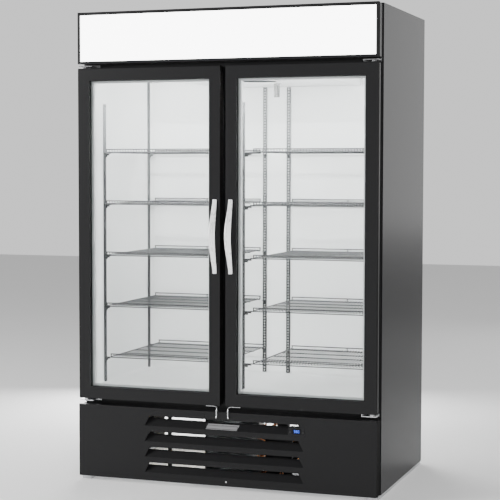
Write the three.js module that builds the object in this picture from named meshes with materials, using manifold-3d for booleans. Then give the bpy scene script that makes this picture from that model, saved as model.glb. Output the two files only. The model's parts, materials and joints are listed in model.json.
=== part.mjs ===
// Two-door glass merchandiser: an upright refrigerated display cabinet.
// Millimetres, +Z up. The design frame has its front plane (doors, canopy, base grille) at y = 0,
// the cabinet running back along +Y and the floor at z = 0. The last lines move that frame so
// that the origin lies at the middle of the footprint.

import * as THREE from "three";
import { mergeVertices } from "three/addons/utils/BufferGeometryUtils.js";
import Module from "manifold-3d";

const wasm = await Module();
wasm.setup();

// ---------------------------------------------------------------- driving dimensions
const WIDTH = 1321;
const BODY_DEPTH = 843;
const HEIGHT = 2012;
const HANDLE_REACH = 40;
const FIT = 0.4;                 // gap kept between pieces that touch

const SKIN = 2.4;                // sheet of the outer panels
const HALF = WIDTH / 2;
const FACE_Y = 75;               // front edge of the side panels
const LIP = 20;                  // depth of the front layer on canopy, doors and base
const STEP = 3;                  // how far everything behind that layer is set in

// base
const RAIL_HEIGHT = 14;
const RAIL_WIDTH = 42;
const DECK_THICK = 3;
const PAN_LEFT = -165;           // the condensing unit's pan runs from here to the right rail
const CROSS_MEMBER = 60;
const BASE_BOTTOM = 19;
const BASE_TOP = 331;
const LOUVRES = 4;
const LOUVRE_PITCH = 66.7;
const LOUVRE_FIRST_TOP = 297;
const LOUVRE_HEIGHT = 43;
const LOUVRE_HALF_TOP = 330;
const LOUVRE_HALF_BOTTOM = 353;
const LOUVRE_DEPTH = 22;
const LOUVRE_SLOT = 13;          // open height above each blade
const GRILLE_SHEET = 2.4;
const KEY_SLOT_X = -80;
const KEY_SLOT_Z = [302, 314];
const BADGE_X = -3;
const BADGE_HALF = 69;
const BADGE_TALL = 26;
const BADGE_LEAN = 7;
const BADGE_THICK = 1.2;

// temperature controller, let into the right end of the first louvre
const CONTROL_X = [289, 357];
const CONTROL_Z = [253, 286];
const CONTROL_PROUD = 1;
const CONTROL_BACK = 34;
const CONTROL_BUTTON_X = [294.5, 351.5];
const CONTROL_BUTTON_Z = 266;
const BUTTON_RADIUS = 3;
const BUTTON_LENGTH = 5;
const BUTTON_BORE = 3.5;

// canopy
const CANOPY_BOTTOM = 1791;
const CANOPY_TOP = 2010;
const CANOPY_HALF = 658.5;
const SIGN_BOTTOM = 1798;
const SIGN_TOP = 1999;
const SIGN_HALF = 649.5;
const SIGN_Y = [3.2, 6.4];
const CANOPY_SHEET = 2.6;
const LAMP_HALF = 600;
const LAMP_Z = [1885, 1915];

// doors
const DOOR_BOTTOM = 357;
const DOOR_TOP = 1773;
const DOOR_OUTER = 657.5;        // distance of the hinge-side edge from the middle
const DOOR_INNER = 12;           // distance of the meeting edge from the middle
const GLASS_OUTER = 605.5;
const GLASS_INNER = 60.5;
const GLASS_BOTTOM = 408.6;
const GLASS_TOP = 1719.8;
const GLASS_CORNER = 5;
const DOOR_THICK = 50;
const REBATE = 14;               // how far the glass unit reaches under the frame
const UNIT_THICK = 24;
const GASKET_DEPTH = 11.6;
const GASKET_WIDTH = 16;
const FRAME_Y = 62.4;            // front of the cabinet's face frame
const PIVOT_X = 634;
const PIVOT_Y = 24;
const PIN_RADIUS = 5;
const PIN_BORE = 6.2;
const TOP_RAIL_BEVEL = 7;        // chamfer along the top edge of each door
const GASKET_INSET = 10;

// handles
const HANDLE_X = 35;
const HANDLE_Z = 1065;
const HANDLE_HALF = 154.5;
const HANDLE_THICK = 3.4;
const HANDLE_PAD = 12;
const HANDLE_END_HALF = 8.5;
const HANDLE_MIDDLE_HALF = 14;

// closing rods
const ROD_RADIUS = 2.8;
const ROD_OUTER = 76;
const ROD_INNER = 25;
const ROD_FRONT = -6;
const ROD_DROP = 48;

// refrigerated space
const LINER_HALF = 628;
const LINER_BACK = 740;
const LINER_FLOOR = 398;
const LINER_TOP = 1850;
const LINER_SHEET = 1.6;
const MULLION_HALF = 20;
const MULLION_BACK = 214;

// shelves
const SHELF_LEVELS = 5;
const SHELF_LOWEST = 516;
const SHELF_PITCH = 225;
const SHELF_INNER = 62;
const SHELF_OUTER = 618;
const SHELF_FRONT = 170;
const SHELF_REAR = 733;
const SHELF_WIRE = 5;
const SHELF_FENCE = 14;          // height of the front and rear fence rods above the deck
const SHELF_BAYS = 9;
const FENCE_INSET = 14;
const OFFSET_SHELF_SHIFT = 18;   // the lowest left shelf hangs a little off centre

// pilasters
const PILASTER_WIDTH = 18;
const PILASTER_DEEP = 6;
const PILASTER_BOTTOM = 403;
const PILASTER_TOP = 1629;
const PILASTER_REAR_TOP = 1790;
const PILASTER_SHEET = 1.5;
const PILASTER_FRONT_Y = 203;
const PILASTER_REAR_Y = 706;
const PILASTER_BACK_X = 57;
const CLIP_REACH = 34;
const CLIP_THICK = 3;

// evaporator housing under the ceiling
const EVAP_LEFT = -270;
const EVAP_RIGHT = 395;
const EVAP_FRONT = 140;
const EVAP_BOTTOM = 1718;
const EVAP_MIDDLE_X = (EVAP_LEFT + EVAP_RIGHT) / 2;
const EVAP_FAN_Y = 270;
const EVAP_FAN_RADIUS = 78;
const EVAP_SHEET = 2;
const EVAP_MARGIN = 60;          // coil and outlet stop this far short of the housing's ends
const EVAP_COIL_Y = [440, 660];
const PROBE_X = 98;
const PROBE_Y = 430;

// condensing unit in the base
const COIL_X = [-112, 132];
const COIL_Y = [92, 140];
const COIL_Z = [22, 300];
const COOLING_FAN_X = (COIL_X[0] + COIL_X[1]) / 2;
const COOLING_FAN_Y = 171;
const COOLING_FAN_Z = 160;
const COOLING_FAN_RADIUS = 104;
const COOLING_HUB = 20;
const SHROUD_DEPTH = 34;
const COMPRESSOR_X = 205;
const COMPRESSOR_Y = 430;
const COMPRESSOR_RADIUS = 82;

// rear service opening and cord gland
const SERVICE_HALF = 600;
const SERVICE_Z = [45, 296];
const GLAND_X = 480;
const GLAND_Z = 315;
const GLAND_RADIUS = 11;
const GLAND_REACH = 14;

// ---------------------------------------------------------------- finishes
function finish(color, roughness, metalness) {
  return new THREE.MeshStandardMaterial({ color, roughness, metalness });
}

const blackPaint = () => finish(0x262628, 0.42, 0.35);
const greyPaint = () => finish(0x5c5d5f, 0.5, 0.45);
const whiteLiner = () => finish(0xe6e7e6, 0.55, 0.1);
const foam = () => finish(0xd9c99a, 0.95, 0);
const zinc = () => finish(0x9a9c9d, 0.5, 0.9);
const steel = () => finish(0xc6c8ca, 0.28, 0.95);
const wireGrey = () => finish(0x8d8f90, 0.45, 0.6);
const rubber = () => finish(0x121212, 0.85, 0);
const clearGlass = () => finish(0xcfd6d6, 0.05, 0);
const litAcrylic = () => finish(0xfafafa, 0.3, 0);
const blackPlastic = () => finish(0x151517, 0.4, 0);
const finMetal = () => finish(0xb3b7ba, 0.45, 0.85);

// ---------------------------------------------------------------- geometry helpers
function block(xs, ys, zs) {
  const size = [xs, ys, zs].map((span) => span[1] - span[0]);
  const middle = [xs, ys, zs].map((span) => (span[0] + span[1]) / 2);
  return new THREE.BoxGeometry(...size).translate(...middle);
}

function drum(radius, height, sides) {
  return new THREE.CylinderGeometry(radius, radius, height, sides).rotateX(Math.PI / 2);
}

function solid(geometry) {
  const bare = geometry.clone();
  bare.deleteAttribute("normal");
  bare.deleteAttribute("uv");
  const merged = mergeVertices(bare, 1e-4);
  return new wasm.Manifold(new wasm.Mesh({
    numProp: 3,
    vertProperties: new Float32Array(merged.attributes.position.array),
    triVerts: new Uint32Array(merged.index.array),
  }));
}

function geometryOf(manifold) {
  const mesh = manifold.getMesh();
  const geometry = new THREE.BufferGeometry();
  geometry.setAttribute("position", new THREE.BufferAttribute(mesh.vertProperties, 3));
  geometry.setIndex(new THREE.BufferAttribute(mesh.triVerts, 1));
  geometry.computeVertexNormals();
  return geometry;
}

function shaped(added, removed = []) {
  const whole = added.map(solid).reduce((sum, next) => sum.add(next));
  return geometryOf(removed.map(solid).reduce((rest, next) => rest.subtract(next), whole));
}

// An outline in (x, z) pushed back along +Y from `front` by `depth`.
function slab(shape, front, depth) {
  const geometry = new THREE.ExtrudeGeometry(shape, { depth, bevelEnabled: false, curveSegments: 4 });
  return geometry.rotateX(Math.PI / 2).translate(0, front + depth, 0);
}

function rectangle(x0, x1, z0, z1) {
  const shape = new THREE.Shape();
  shape.moveTo(x0, z0);
  shape.lineTo(x1, z0);
  shape.lineTo(x1, z1);
  shape.lineTo(x0, z1);
  shape.closePath();
  return shape;
}

function roundedHole(x0, x1, z0, z1, radius) {
  const hole = new THREE.Path();
  hole.moveTo(x0 + radius, z0);
  hole.lineTo(x1 - radius, z0);
  hole.absarc(x1 - radius, z0 + radius, radius, -Math.PI / 2, 0);
  hole.lineTo(x1, z1 - radius);
  hole.absarc(x1 - radius, z1 - radius, radius, 0, Math.PI / 2);
  hole.lineTo(x0 + radius, z1);
  hole.absarc(x0 + radius, z1 - radius, radius, Math.PI / 2, Math.PI);
  hole.lineTo(x0, z0 + radius);
  hole.absarc(x0 + radius, z0 + radius, radius, Math.PI, 1.5 * Math.PI);
  return hole;
}

function bentRod(points, radius, sides) {
  const section = new THREE.Shape();
  section.absarc(0, 0, radius, 0, 2 * Math.PI);
  const corners = points.map((point) => new THREE.Vector3(...point));
  const path = new THREE.CatmullRomCurve3(corners, false, "catmullrom", 0.2);
  return new THREE.ExtrudeGeometry(section, {
    steps: (points.length - 1) * 3,
    extrudePath: path,
    curveSegments: sides,
  });
}

// A profile in (y, z) drawn along X between two ends.
function prism(profile, x0, x1) {
  const shape = new THREE.Shape(profile.map(([y, z]) => new THREE.Vector2(y, z)));
  const geometry = new THREE.ExtrudeGeometry(shape, { depth: x1 - x0, bevelEnabled: false });
  const turn = new THREE.Matrix4().set(0, 0, 1, x0, 1, 0, 0, 0, 0, 1, 0, 0, 0, 0, 0, 1);
  return geometry.applyMatrix4(turn);
}

// A profile in (x, y) standing up between two heights.
function upright(profile, z0, z1) {
  const shape = new THREE.Shape(profile.map(([x, y]) => new THREE.Vector2(x, y)));
  return new THREE.ExtrudeGeometry(shape, { depth: z1 - z0, bevelEnabled: false }).translate(0, 0, z0);
}

const cabinet = new THREE.Group();

function place(name, geometry, material, parent = cabinet) {
  const mesh = new THREE.Mesh(geometry, material);
  mesh.name = name;
  parent.add(mesh);
  return mesh;
}

const SIDES = [["left", -1], ["right", 1]];

// Ordered span from two distances out from the middle, on the side given by `sign`.
function outward(sign, near, far) {
  return sign > 0 ? [near, far] : [-far, -near];
}

// ---------------------------------------------------------------- outer shell
// Limits of the foam between the outer shell and the liner.
const FOAM_HALF = HALF - SKIN - FIT;
const FOAM_BACK = BODY_DEPTH - 2 * SKIN - 2 * FIT;
const FOAM_FRONT = FACE_Y + SKIN + FIT;
const WALL_FOAM_Z = [BASE_TOP + 4, LINER_TOP + LINER_SHEET + FIT];

function sidePanel(sign) {
  const flange = 26;
  const outer = sign * HALF;
  const inner = sign * (HALF - SKIN);
  const tip = sign * (HALF - flange);
  const outline = [
    [outer, FACE_Y], [outer, BODY_DEPTH], [tip, BODY_DEPTH], [tip, BODY_DEPTH - SKIN],
    [inner, BODY_DEPTH - SKIN], [inner, FACE_Y + SKIN], [tip, FACE_Y + SKIN], [tip, FACE_Y],
  ];
  return upright(outline, RAIL_HEIGHT + FIT, HEIGHT);
}

// The machine compartment stays open behind; the cord gland sits just above that opening.
function rearPanel() {
  const y0 = BODY_DEPTH - 2 * SKIN - FIT;
  const half = HALF - SKIN - FIT;
  const sheet = block([-half, half], [y0, y0 + SKIN], [RAIL_HEIGHT + FIT, HEIGHT - SKIN - FIT]);
  const service = block([-SERVICE_HALF, SERVICE_HALF], [y0 - SKIN, y0 + 2 * SKIN], SERVICE_Z);
  const gland = drum(GLAND_RADIUS, GLAND_REACH, 16).rotateX(Math.PI / 2);
  gland.translate(GLAND_X, y0 - GLAND_REACH / 2 + 1, GLAND_Z);
  return shaped([sheet, gland], [service]);
}

function roofPanel() {
  const half = HALF - SKIN - FIT;
  return block([-half, half], [FOAM_FRONT, FOAM_BACK], [HEIGHT - SKIN, HEIGHT]);
}

function wallInsulation() {
  const liner = LINER_HALF + LINER_SHEET + FIT;
  const back = LINER_BACK + LINER_SHEET + FIT;
  const outer = block([-FOAM_HALF, FOAM_HALF], [FOAM_FRONT, FOAM_BACK], WALL_FOAM_Z);
  const inner = block([-liner, liner], [FOAM_FRONT - 5, back], [0, HEIGHT]);
  return shaped([outer], [inner]);
}

function ceilingInsulation() {
  const bottom = WALL_FOAM_Z[1] + FIT;
  return block([-FOAM_HALF, FOAM_HALF], [FOAM_FRONT, FOAM_BACK], [bottom, HEIGHT - SKIN - FIT]);
}

function floorInsulation() {
  const half = LINER_HALF + LINER_SHEET;
  const top = LINER_FLOOR - LINER_SHEET - FIT;
  return block([-half, half], [FOAM_FRONT, LINER_BACK + LINER_SHEET], [WALL_FOAM_Z[0], top]);
}

function interiorLiner() {
  const t = LINER_SHEET;
  const front = FOAM_FRONT + FIT;
  const zs = [LINER_FLOOR - t, LINER_TOP + t];
  const outer = block([-LINER_HALF - t, LINER_HALF + t], [front, LINER_BACK + t], zs);
  const inner = block([-LINER_HALF, LINER_HALF], [front - t, LINER_BACK], [LINER_FLOOR, LINER_TOP]);
  return shaped([outer], [inner]);
}

// The black face frame that the door gaskets close on, with a skirt down behind the base's top edge.
function faceFrame() {
  const edge = 6;
  const headDepth = 100;
  const gap = 2;
  const skirtHalf = HALF - 3 * STEP;
  const skirtDrop = 40;
  const ys = [FRAME_Y, FACE_Y - FIT];
  const plate = block([-HALF + STEP, HALF - STEP], ys, [BASE_TOP + gap, CANOPY_BOTTOM - gap]);
  const doorwayZ = [LINER_FLOOR, LINER_TOP - headDepth];
  const doorways = SIDES.map(([, sign]) => (
    block(outward(sign, MULLION_HALF, LINER_HALF - edge), [0, BODY_DEPTH], doorwayZ)
  ));
  const skirt = block([-skirtHalf, skirtHalf], ys, [BASE_TOP - skirtDrop, BASE_TOP + 2 * gap]);
  return shaped([plate, skirt], doorways);
}

function centreMullion() {
  const zs = [LINER_FLOOR + FIT, EVAP_BOTTOM - FIT];
  return block([-MULLION_HALF, MULLION_HALF], [FACE_Y + FIT, MULLION_BACK], zs);
}

// ---------------------------------------------------------------- pilasters and shelves
// A slotted upright is a channel standing open side out, with a clip under each shelf level.
// It is drawn facing -Y; `clip` gives the span of the clips in X and how far they reach.
function pilaster(top, clip) {
  const half = PILASTER_WIDTH / 2;
  const wall = PILASTER_SHEET;
  const zs = [PILASTER_BOTTOM, top];
  const pieces = [
    block([-half, half], [-wall, 0], zs),
    block([-half, -half + wall], [-PILASTER_DEEP, 0], zs),
    block([half - wall, half], [-PILASTER_DEEP, 0], zs),
  ];
  for (let level = 0; level < SHELF_LEVELS; level += 1) {
    const clipTop = SHELF_LOWEST + level * SHELF_PITCH - SHELF_WIRE / 2 - FIT;
    const clipZ = [clipTop - CLIP_THICK, clipTop];
    pieces.push(block(clip.span, [-clip.reach, -PILASTER_DEEP + wall], clipZ));
  }
  return shaped(pieces);
}

function addPilasters() {
  const wallX = LINER_HALF - FIT;
  const mullionX = MULLION_HALF + FIT;
  const backY = LINER_BACK - FIT;
  const half = PILASTER_WIDTH / 2;
  const overlap = 10;
  const toWall = { span: [-half, half], reach: CLIP_REACH };
  const toMullion = { span: [-half, half], reach: SHELF_INNER + overlap - mullionX };
  for (const [side, sign] of SIDES) {
    const toBack = { span: outward(sign, -half / 2, half + overlap), reach: CLIP_REACH };
    const turn = sign * Math.PI / 2;
    const rows = [
      ["front", sign * wallX, PILASTER_FRONT_Y, -turn, PILASTER_TOP, toWall],
      ["rear", sign * wallX, PILASTER_REAR_Y, -turn, PILASTER_REAR_TOP, toWall],
      ["mullion", sign * mullionX, PILASTER_FRONT_Y, turn, PILASTER_TOP, toMullion],
      ["back", sign * PILASTER_BACK_X, backY, 0, EVAP_BOTTOM - FIT, toBack],
    ];
    for (const [where, x, y, angle, top, clip] of rows) {
      const mesh = place(`${side}_${where}_pilaster`, pilaster(top, clip), zinc());
      mesh.position.set(x, y, 0);
      mesh.rotation.z = angle;
    }
  }
}

// A wire shelf: one grid with long openings, and a fence rod standing on posts front and rear.
function wireShelf() {
  const half = (SHELF_OUTER - SHELF_INNER) / 2;
  const depth = SHELF_REAR - SHELF_FRONT;
  const wire = SHELF_WIRE;
  const bay = (2 * half - wire) / SHELF_BAYS;
  const pieces = [block([-half, half], [0, depth], [0, wire])];
  const rows = [[wire, (depth - wire) / 2], [(depth + wire) / 2, depth - wire]];
  const gaps = [];
  for (let column = 0; column < SHELF_BAYS; column += 1) {
    const x0 = -half + wire + column * bay;
    rows.forEach((ys) => gaps.push(block([x0, x0 + bay - wire], ys, [-wire, 2 * wire])));
  }
  const end = half - FENCE_INSET;
  const fenceZ = [SHELF_FENCE, SHELF_FENCE + wire];
  const postZ = [wire / 2, SHELF_FENCE + wire / 2];
  for (const y of [0, depth - wire]) {
    const ys = [y, y + wire];
    pieces.push(block([-end, end], ys, fenceZ));
    for (const x of [-end, -wire / 2, end - wire]) {
      pieces.push(block([x, x + wire], ys, postZ));
    }
  }
  return shaped(pieces, gaps);
}

function addShelves() {
  const middle = (SHELF_OUTER + SHELF_INNER) / 2;
  for (const [side, sign] of SIDES) {
    for (let level = 1; level <= SHELF_LEVELS; level += 1) {
      const shelf = place(`${side}_shelf_${level}`, wireShelf(), wireGrey());
      const shift = side === "left" && level === 1 ? OFFSET_SHELF_SHIFT : 0;
      const z = SHELF_LOWEST + (level - 1) * SHELF_PITCH - SHELF_WIRE / 2;
      shelf.position.set(sign * middle + shift, SHELF_FRONT, z);
    }
  }
}

// ---------------------------------------------------------------- doors
function doorFrame(sign) {
  const [x0, x1] = outward(sign, DOOR_INNER, DOOR_OUTER);
  const [g0, g1] = outward(sign, GLASS_INNER, GLASS_OUTER);
  const face = rectangle(x0, x1, DOOR_BOTTOM, DOOR_TOP);
  face.holes.push(roundedHole(g0, g1, GLASS_BOTTOM, GLASS_TOP, GLASS_CORNER));
  const body = rectangle(x0 + STEP, x1 - STEP, DOOR_BOTTOM + STEP, DOOR_TOP - STEP);
  body.holes.push(rectangle(g0 - REBATE, g1 + REBATE, GLASS_BOTTOM - REBATE, GLASS_TOP + REBATE));
  const bevel = [
    [-1, DOOR_TOP - TOP_RAIL_BEVEL],
    [TOP_RAIL_BEVEL / 2, DOOR_TOP + 1],
    [-1, DOOR_TOP + 1],
  ];
  const removed = [prism(bevel, x0 - 1, x1 + 1)];
  const boreDepth = 15;
  for (const z of [DOOR_BOTTOM, DOOR_TOP]) {
    removed.push(drum(PIN_BORE, 2 * boreDepth, 20).translate(sign * PIVOT_X, PIVOT_Y, z));
  }
  return shaped([slab(face, 0, LIP), slab(body, LIP - 1, DOOR_THICK - LIP + 1)], removed);
}

function glassUnit(sign) {
  const inset = REBATE - FIT;
  const xs = outward(sign, GLASS_INNER - inset, GLASS_OUTER + inset);
  return block(xs, [LIP + FIT, LIP + FIT + UNIT_THICK], [GLASS_BOTTOM - inset, GLASS_TOP + inset]);
}

function doorGasket(sign) {
  const w = GASKET_WIDTH;
  const clearOfHinge = 4;
  const [x0, x1] = outward(sign, DOOR_INNER + GASKET_INSET, PIVOT_X - clearOfHinge);
  const z0 = DOOR_BOTTOM + GASKET_INSET;
  const z1 = DOOR_TOP - GASKET_INSET;
  const shape = rectangle(x0, x1, z0, z1);
  shape.holes.push(rectangle(x0 + w, x1 - w, z0 + w, z1 - w));
  return slab(shape, DOOR_THICK + FIT, GASKET_DEPTH);
}

// How far the handle stands off the door at height t from its middle: one long arch.
function handleRise(t) {
  const reach = HANDLE_REACH - HANDLE_THICK - FIT;
  const along = (HANDLE_HALF - HANDLE_PAD - Math.abs(t)) / (HANDLE_HALF - HANDLE_PAD);
  const share = Math.min(1, Math.max(0, along));
  const arch = Math.sin((share * Math.PI) / 2);
  const ease = share * share * (3 - 2 * share);
  return (reach * (arch + ease)) / 2;
}

function handleHalfWidth(t) {
  const swell = Math.cos((t / HANDLE_HALF) * (Math.PI / 2)) ** 1.4;
  return HANDLE_END_HALF + (HANDLE_MIDDLE_HALF - HANDLE_END_HALF) * swell;
}

// A closed outline that goes up along one edge and comes back down along another.
function ribbon(heights, leading, trailing) {
  const up = heights.map((t) => new THREE.Vector2(leading(t), t));
  const down = heights.map((t) => new THREE.Vector2(trailing(t), t)).reverse();
  return new THREE.Shape([...up, ...down]);
}

// A flat bow handle: narrow pads at both ends, wider and proud in the middle.
function bowHandle() {
  const steps = 24;
  const heights = [];
  for (let i = 0; i <= steps; i += 1) {
    heights.push(-HANDLE_HALF + (2 * HANDLE_HALF * i) / steps);
  }
  const side = ribbon(heights, (t) => -handleRise(t), (t) => -handleRise(t) - HANDLE_THICK);
  const width = 2 * HANDLE_MIDDLE_HALF;
  const strip = new THREE.ExtrudeGeometry(side, { depth: width, bevelEnabled: false });
  strip.applyMatrix4(new THREE.Matrix4().set(0, 0, 1, -width / 2, 1, 0, 0, -FIT, 0, 1, 0, 0, 0, 0, 0, 1));
  const front = ribbon(heights, handleHalfWidth, (t) => -handleHalfWidth(t));
  const cutter = slab(front, -2 * HANDLE_REACH, 3 * HANDLE_REACH);
  return geometryOf(solid(strip).intersect(solid(cutter)));
}

// A bent steel rod under the meeting corner: the free end of the door's closing rod.
function closingRod(sign) {
  const under = DOOR_BOTTOM - ROD_RADIUS - FIT;
  const x = sign * ROD_INNER;
  const behind = 9;
  const points = [
    [sign * ROD_OUTER, behind, under],
    [sign * (ROD_INNER + 23), behind, under],
    [sign * (ROD_INNER + 5), behind - 1, under],
    [x, 3, under - 4],
    [x, ROD_FRONT, under - 14],
    [x, ROD_FRONT, under - 36],
    [x, ROD_FRONT - 1, under - ROD_DROP],
  ];
  return bentRod(points, ROD_RADIUS, 3);
}

const HINGES = [["bottom", 1, DOOR_BOTTOM], ["top", -1, DOOR_TOP]];

// An angle plate screwed to the face frame, with the pivot pin that enters the door.
function hingeBracket(sign, up, doorEdge) {
  const plateGap = 7;
  const plate = 4;
  const armNear = 594;
  const footNear = 580;
  const outer = DOOR_OUTER - 2;
  const backY = FRAME_Y - FIT;
  const level = (distance) => doorEdge - up * distance;
  const heights = (near, far) => [Math.min(level(near), level(far)), Math.max(level(near), level(far))];
  const arm = block(outward(sign, armNear, outer), [plate, backY], heights(plateGap, plateGap + plate));
  const foot = block(outward(sign, footNear, outer), [backY - 3, backY], heights(4, 16));
  const pinLength = plateGap + plate + 12;
  const pin = drum(PIN_RADIUS, pinLength, 16);
  pin.translate(sign * PIVOT_X, PIVOT_Y, level(plateGap + plate - pinLength / 2));
  const washerHeight = plateGap - 1.5;
  const washer = drum(2 * PIN_RADIUS, washerHeight, 16);
  washer.translate(sign * PIVOT_X, PIVOT_Y, level(plateGap - washerHeight / 2));
  return shaped([arm, foot, pin, washer]);
}

function addDoors() {
  for (const [side, sign] of SIDES) {
    place(`${side}_door_frame`, doorFrame(sign), blackPaint());
    place(`${side}_door_glass`, glassUnit(sign), clearGlass());
    place(`${side}_door_gasket`, doorGasket(sign), rubber());
    const handle = place(`${side}_door_handle`, bowHandle(), steel());
    handle.position.set(sign * HANDLE_X, 0, HANDLE_Z);
    place(`${side}_door_closing_rod`, closingRod(sign), steel());
    for (const [level, up, edge] of HINGES) {
      place(`${side}_${level}_hinge`, hingeBracket(sign, up, edge), steel());
    }
  }
}

// ---------------------------------------------------------------- canopy
function canopyHousing() {
  const half = CANOPY_HALF;
  const inner = half - STEP;
  const wall = CANOPY_SHEET;
  const back = FACE_Y - FIT;
  const frontBox = block([-half, half], [0, LIP], [CANOPY_BOTTOM, CANOPY_TOP]);
  const rearBox = block([-inner, inner], [LIP - 1, back], [CANOPY_BOTTOM + STEP, CANOPY_TOP - STEP]);
  const zs = [CANOPY_BOTTOM + STEP + wall, CANOPY_TOP - STEP - wall];
  const cavity = block([-inner + wall, inner - wall], [wall, back - wall], zs);
  const window = block([-SIGN_HALF, SIGN_HALF], [-wall, wall + 1], [SIGN_BOTTOM, SIGN_TOP]);
  return shaped([frontBox, rearBox], [cavity, window]);
}

function signPanel() {
  const half = SIGN_HALF + 2;
  return block([-half, half], SIGN_Y, [SIGN_BOTTOM - 1, SIGN_TOP + 3]);
}

// A slim carrier against the back of the canopy with a narrower lens standing on it.
function signLamp() {
  const back = FACE_Y - FIT - CANOPY_SHEET - FIT;
  const carrierFront = 58;
  const lensReach = 10;
  const [z0, z1] = LAMP_Z;
  const carrier = block([-LAMP_HALF, LAMP_HALF], [carrierFront, back], LAMP_Z);
  const lensHalf = LAMP_HALF - lensReach;
  const lens = block([-lensHalf, lensHalf], [carrierFront - lensReach, carrierFront + 2], [z0 + 6, z1 - 6]);
  return shaped([carrier, lens]);
}

// ---------------------------------------------------------------- base
function louvreTop(row) {
  return LOUVRE_FIRST_TOP - row * LOUVRE_PITCH;
}

function louvreHole(top, bottom) {
  const hole = new THREE.Path();
  hole.moveTo(-LOUVRE_HALF_BOTTOM, bottom);
  hole.lineTo(LOUVRE_HALF_BOTTOM, bottom);
  hole.lineTo(LOUVRE_HALF_TOP, top);
  hole.lineTo(-LOUVRE_HALF_TOP, top);
  hole.closePath();
  return hole;
}

// A leaning blade behind one louvre hole, with a cheek closing each of its ends.
function louvreBlade(top, bottom, right) {
  const t = GRILLE_SHEET;
  const left = -LOUVRE_HALF_BOTTOM;
  const lap = 0.2;
  const edge = 0.5;
  const rim = top - LOUVRE_SLOT;
  const blade = [[lap, bottom - edge], [t, bottom - 3], [LOUVRE_DEPTH + t, rim], [LOUVRE_DEPTH, rim]];
  const back = LOUVRE_DEPTH + t / 2;
  const cheek = [[lap, bottom - 1], [back, rim - 1], [back, top + 2], [edge, top + 2]];
  return [
    prism(blade, left, right),
    prism(cheek, left - t, left + lap),
    prism(cheek, right - lap, right + t),
  ];
}

function frontGrille() {
  const t = GRILLE_SHEET;
  const half = HALF - 0.5;
  const back = half - STEP;
  const lap = 0.5;
  const sheet = rectangle(-half, half, BASE_BOTTOM, BASE_TOP);
  const blades = [];
  for (let row = 0; row < LOUVRES; row += 1) {
    const top = louvreTop(row);
    const bottom = top - LOUVRE_HEIGHT;
    const right = row === 0 ? CONTROL_X[0] - t - 1 : LOUVRE_HALF_BOTTOM;
    sheet.holes.push(louvreHole(top, bottom));
    blades.push(...louvreBlade(top, bottom, right));
  }
  const returns = SIDES.flatMap(([, sign]) => [
    block(outward(sign, half - t, half), [lap, LIP], [BASE_BOTTOM, BASE_TOP]),
    block(outward(sign, back - t, half), [LIP - t, LIP], [BASE_BOTTOM, BASE_TOP]),
    block(outward(sign, back - t, back + 1), [LIP - t, FACE_Y - FIT], [BASE_BOTTOM + 4, BASE_TOP - STEP]),
  ]);
  const topReturn = block([-half, half], [lap, LIP], [BASE_TOP - t, BASE_TOP]);
  const bottomReturn = block([-half + t, half - t], [lap, LIP], [BASE_BOTTOM, BASE_BOTTOM + t]);
  const control = block(CONTROL_X, [-t, CONTROL_BACK], CONTROL_Z);
  const keySlot = block([KEY_SLOT_X - 1, KEY_SLOT_X + 1], [-t, 2 * t], KEY_SLOT_Z);
  return shaped([slab(sheet, 0, t), ...blades, ...returns, topReturn, bottomReturn], [control, keySlot]);
}

function temperatureController() {
  const xs = [CONTROL_X[0] + FIT, CONTROL_X[1] - FIT];
  const zs = [CONTROL_Z[0] + FIT, CONTROL_Z[1] - FIT];
  const body = block(xs, [-CONTROL_PROUD, CONTROL_BACK], zs);
  const depth = 2 * BUTTON_LENGTH + 2;
  const bores = CONTROL_BUTTON_X.map((x) => (
    drum(BUTTON_BORE, depth, 12).rotateX(Math.PI / 2).translate(x, -0.5, CONTROL_BUTTON_Z)
  ));
  return shaped([body], bores);
}

function controllerButton() {
  return drum(BUTTON_RADIUS, BUTTON_LENGTH, 12).rotateX(Math.PI / 2);
}

// A blank plate lying on the first blade, cut as a leaning parallelogram.
function badgePlate() {
  const shape = new THREE.Shape();
  shape.moveTo(-BADGE_HALF - BADGE_LEAN / 2, 0);
  shape.lineTo(BADGE_HALF - BADGE_LEAN / 2, 0);
  shape.lineTo(BADGE_HALF + BADGE_LEAN / 2, BADGE_TALL);
  shape.lineTo(-BADGE_HALF + BADGE_LEAN / 2, BADGE_TALL);
  shape.closePath();
  return slab(shape, 0, BADGE_THICK);
}

// Two channel-like rails joined by cross members, and a pan under the condensing unit.
function baseFrame() {
  const half = HALF - SKIN - FIT;
  const front = LIP + 6;
  const back = BODY_DEPTH - SKIN;
  const deckZ = [RAIL_HEIGHT - DECK_THICK, RAIL_HEIGHT];
  const rails = SIDES.map(([, sign]) => (
    block(outward(sign, half - RAIL_WIDTH, half), [front, back], [0, RAIL_HEIGHT])
  ));
  const frontMember = block([-half, half], [front, front + CROSS_MEMBER], deckZ);
  const rearMember = block([-half, half], [back - CROSS_MEMBER, back], deckZ);
  const pan = block([PAN_LEFT, half], [front, back], deckZ);
  return shaped([...rails, frontMember, rearMember, pan]);
}

// ---------------------------------------------------------------- refrigeration
// Blades stand on a hub whose axis is Z; each is a thin plate set at a pitch.
function fanBlades(radius, count, height) {
  const hub = drum(radius * 0.26, height, 20);
  const pieces = [hub];
  for (let blade = 0; blade < count; blade += 1) {
    const plate = new THREE.BoxGeometry(radius * 0.8, radius * 0.42, 2);
    plate.rotateX(0.42).translate(radius * 0.58, 0, 0);
    pieces.push(plate.rotateZ((2 * Math.PI * blade) / count));
  }
  return shaped(pieces);
}

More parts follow.
